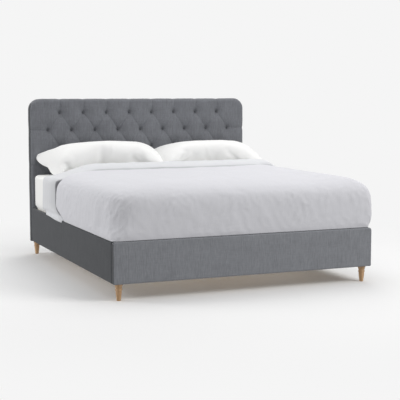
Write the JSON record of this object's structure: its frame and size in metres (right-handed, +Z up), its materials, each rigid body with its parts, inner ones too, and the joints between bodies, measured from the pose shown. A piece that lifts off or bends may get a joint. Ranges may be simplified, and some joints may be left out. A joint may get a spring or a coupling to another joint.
{
  "type": "upholstered headboard bed",
  "caption": "King-size bed: diamond-tufted grey headboard with rounded corners, upholstered rails, turned oak legs, slatted base, mattress, sheet, duvet and pillows.",
  "frame": {"origin": "on the floor, under the middle of the bed's plan outline", "axes": "+Z up, +Y from the foot of the bed towards the headboard, +X to the right when seen from the foot"},
  "size_m": [1.9, 2.2, 1.268],
  "materials": {
    "grey_linen": "slubby mid-grey linen weave, matt",
    "black_lining": "black non-woven lining cloth",
    "foam": "open-cell polyurethane foam",
    "plywood": "unfinished plywood",
    "pine": "planed unfinished pine",
    "oak": "light oak, satin lacquer",
    "zinc_steel": "zinc-plated steel",
    "black_plastic": "moulded black plastic",
    "mattress_ticking": "white knitted ticking",
    "spring_core": "pocket springs in non-woven cloth",
    "sheet_cotton": "pale grey washed cotton",
    "duvet_linen": "light lilac-grey washed linen",
    "pillow_cotton": "white cotton percale",
    "pillow_fibre": "white fibre fill"
  },
  "bodies": {
    "bed_frame": {"headboard_cover": "grey_linen", "headboard_buttons": "grey_linen", "foot_rail_cover": "grey_linen", "side_rail_left_cover": "grey_linen", "side_rail_right_cover": "grey_linen", "headboard_back_cover": "black_lining", "headboard_foam": "foam", "foot_rail_foam": "foam", "side_rail_left_foam": "foam", "side_rail_right_foam": "foam", "headboard_panel": "plywood", "headboard_stile_left": "pine", "headboard_stile_right": "pine", "headboard_top_rail": "pine", "headboard_bottom_rail": "pine", "foot_rail_board": "pine", "side_rail_left_board": "pine", "side_rail_right_board": "pine", "corner_block_left": "pine", "corner_block_right": "pine", "slat_ledger_left": "pine", "slat_ledger_right": "pine", "centre_beam": "pine", "centre_leg_front": "pine", "centre_leg_rear": "pine", "slat_01": "pine", "slat_02": "pine", "slat_03": "pine", "slat_04": "pine", "slat_05": "pine", "slat_06": "pine", "slat_07": "pine", "slat_08": "pine", "slat_09": "pine", "slat_10": "pine", "leg_front_left": "oak", "leg_front_right": "oak", "leg_rear_left": "oak", "leg_rear_right": "oak", "rail_bracket_left": "zinc_steel", "rail_bracket_right": "zinc_steel", "beam_bracket_head": "zinc_steel", "beam_bracket_foot": "zinc_steel", "leg_stud_front_left": "zinc_steel", "leg_stud_front_right": "zinc_steel", "leg_stud_rear_left": "zinc_steel", "leg_stud_rear_right": "zinc_steel"},
    "mattress": {"mattress_cover": "mattress_ticking", "mattress_foam": "foam", "mattress_springs": "spring_core"},
    "bedding": {"flat_sheet": "sheet_cotton", "duvet": "duvet_linen"},
    "pillow_left": {"pillow_left_case": "pillow_cotton", "pillow_left_filling": "pillow_fibre"},
    "pillow_right": {"pillow_right_case": "pillow_cotton", "pillow_right_filling": "pillow_fibre"},
    "front_foot_pad": {"centre_foot_pad_front": "black_plastic"},
    "front_foot_screw": {"centre_foot_stud_front": "zinc_steel"},
    "rear_foot_pad": {"centre_foot_pad_rear": "black_plastic"},
    "rear_foot_screw": {"centre_foot_stud_rear": "zinc_steel"}
  },
  "joints": [
    {"name": "mattress_lift", "type": "slide", "parent": "bed_frame", "child": "mattress", "axis": [0, 0, 1], "range_m": [0, 0.3]},
    {"name": "bedding_lift", "type": "slide", "parent": "mattress", "child": "bedding", "axis": [0, 0, 1], "range_m": [0, 0.2]},
    {"name": "pillow_left_lift", "type": "slide", "parent": "mattress", "child": "pillow_left", "axis": [0, 0, 1], "range_m": [0, 0.2]},
    {"name": "pillow_right_lift", "type": "slide", "parent": "mattress", "child": "pillow_right", "axis": [0, 0, 1], "range_m": [0, 0.2]},
    {"name": "front_foot_travel", "type": "slide", "parent": "bed_frame", "child": "front_foot_pad", "axis": [0, 0, 1], "range_m": [0, 0.012]},
    {"name": "front_foot_turn", "type": "hinge", "parent": "front_foot_pad", "child": "front_foot_screw", "pos_m": [0, -0.35, 0.01], "axis": [0, 0, 1], "range_deg": [0, 2870]},
    {"name": "rear_foot_travel", "type": "slide", "parent": "bed_frame", "child": "rear_foot_pad", "axis": [0, 0, 1], "range_m": [0, 0.012]},
    {"name": "rear_foot_turn", "type": "hinge", "parent": "rear_foot_pad", "child": "rear_foot_screw", "pos_m": [0, 0.35, 0.01], "axis": [0, 0, 1], "range_deg": [0, 2870]}
  ],
  "couplings": [
    {"joint": "front_foot_travel", "follows": "front_foot_turn", "m_per_rad": 0.00023873},
    {"joint": "rear_foot_travel", "follows": "rear_foot_turn", "m_per_rad": 0.00023873}
  ]
}
